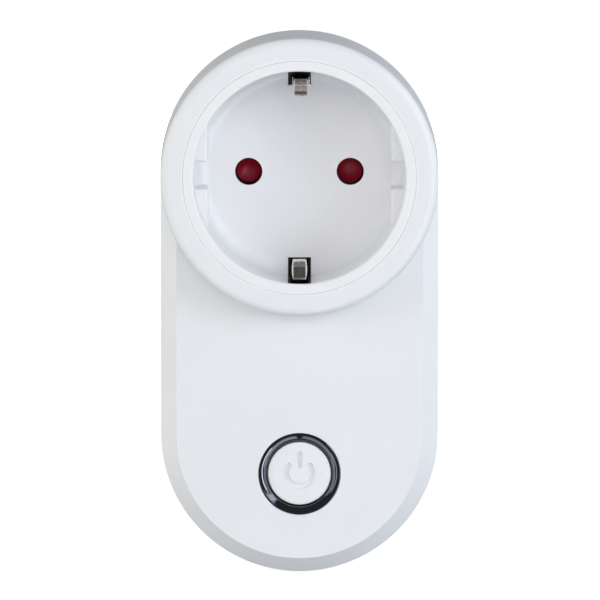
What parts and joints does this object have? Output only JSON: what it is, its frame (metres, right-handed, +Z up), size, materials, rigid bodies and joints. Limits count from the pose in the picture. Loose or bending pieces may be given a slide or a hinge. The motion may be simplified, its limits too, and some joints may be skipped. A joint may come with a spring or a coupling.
{
  "type": "plug in power meter",
  "caption": "Capsule-shaped plug-through power meter for an earthed two-pin socket, with a proud round shuttered socket, a lit round push button and a rear plug.",
  "frame": {"origin": "on the common axis of plug and socket, in the plane of the wall face that the plug stands out of", "axes": "+Y along the plug pins into the wall, so the socket faces -Y; +Z up, away from the button; +X to the right seen from the front"},
  "size_m": [0.0524, 0.0765, 0.101],
  "materials": {
    "white_shell": "fine satin moulded",
    "white_insert": "satin moulded",
    "black_moulding": "satin moulded",
    "spring_brass": "stamped",
    "plain_brass": "stamped",
    "nickel_leaf": "nickel plated strip",
    "red_shutter": "moulded, semi gloss",
    "spring_steel": "drawn wire",
    "nickel_pin": "turned, nickel plated",
    "smoked_ring": "polished dark translucent",
    "white_button": "fine satin moulded",
    "switch_shell": "plated sheet over moulding",
    "lamp_lens": "clear resin",
    "board_laminate": "solder mask on laminate",
    "relay_case": "moulded case",
    "resistance_metal": "rolled strip",
    "can_sleeve": "shrunk sleeve on a can",
    "ferrite": "sintered",
    "resistor_coat": "cement coat",
    "varistor_coat": "epoxy dip",
    "tinned_shield": "tinned sheet",
    "screw_steel": "zinc plated"
  },
  "bodies": {
    "housing": {"front_housing": "white_shell", "rear_housing": "white_shell", "plug_base": "white_shell", "socket_insert": "white_insert", "contact_carrier": "black_moulding", "live_contact": "spring_brass", "neutral_contact": "spring_brass", "earth_strap": "plain_brass", "live_pin": "nickel_pin", "neutral_pin": "nickel_pin", "plug_earth_strips": "nickel_leaf", "live_in_strap": "plain_brass", "live_out_strap": "plain_brass", "neutral_strap": "plain_brass", "light_ring": "smoked_ring", "tact_switch": "switch_shell", "status_leds": "lamp_lens", "main_board": "board_laminate", "relay": "relay_case", "metering_chip": "black_moulding", "shunt": "resistance_metal", "capacitors": "can_sleeve", "inductor": "ferrite", "rectifier": "black_moulding", "fuse_resistor": "resistor_coat", "varistor": "varistor_coat", "radio_module": "board_laminate", "radio_shield": "tinned_shield", "case_screws": "screw_steel", "board_screws": "screw_steel", "carrier_screws": "screw_steel"},
    "button": {"power_button": "white_button", "switch_plunger": "black_moulding"},
    "shutter_plate": {"shutter": "red_shutter", "shutter_spring": "spring_steel"},
    "upper_leaf": {"earth_contact_upper": "nickel_leaf"},
    "lower_leaf": {"earth_contact_lower": "nickel_leaf"}
  },
  "joints": [
    {"name": "button_press", "type": "slide", "parent": "housing", "child": "button", "axis": [0, 1, 0], "range_m": [0, 0.0006], "stiffness_N_per_m": 1200},
    {"name": "shutter_turn", "type": "hinge", "parent": "housing", "child": "shutter_plate", "pos_m": [0, -0.0186, 0], "axis": [0, -1, 0], "range_deg": [0, 38], "stiffness_Nm_per_rad": 0.002, "springref_deg": -20.05, "deforming": ["shutter_spring"]},
    {"name": "upper_leaf_flex", "type": "hinge", "parent": "housing", "child": "upper_leaf", "pos_m": [0, -0.021, 0.0176], "axis": [-1, 0, 0], "range_deg": [0, 4.5], "stiffness_Nm_per_rad": 0.9, "springref_deg": -1.15},
    {"name": "lower_leaf_flex", "type": "hinge", "parent": "housing", "child": "lower_leaf", "pos_m": [0, -0.021, -0.0176], "axis": [1, 0, 0], "range_deg": [0, 4.5], "stiffness_Nm_per_rad": 0.9, "springref_deg": -1.15}
  ]
}
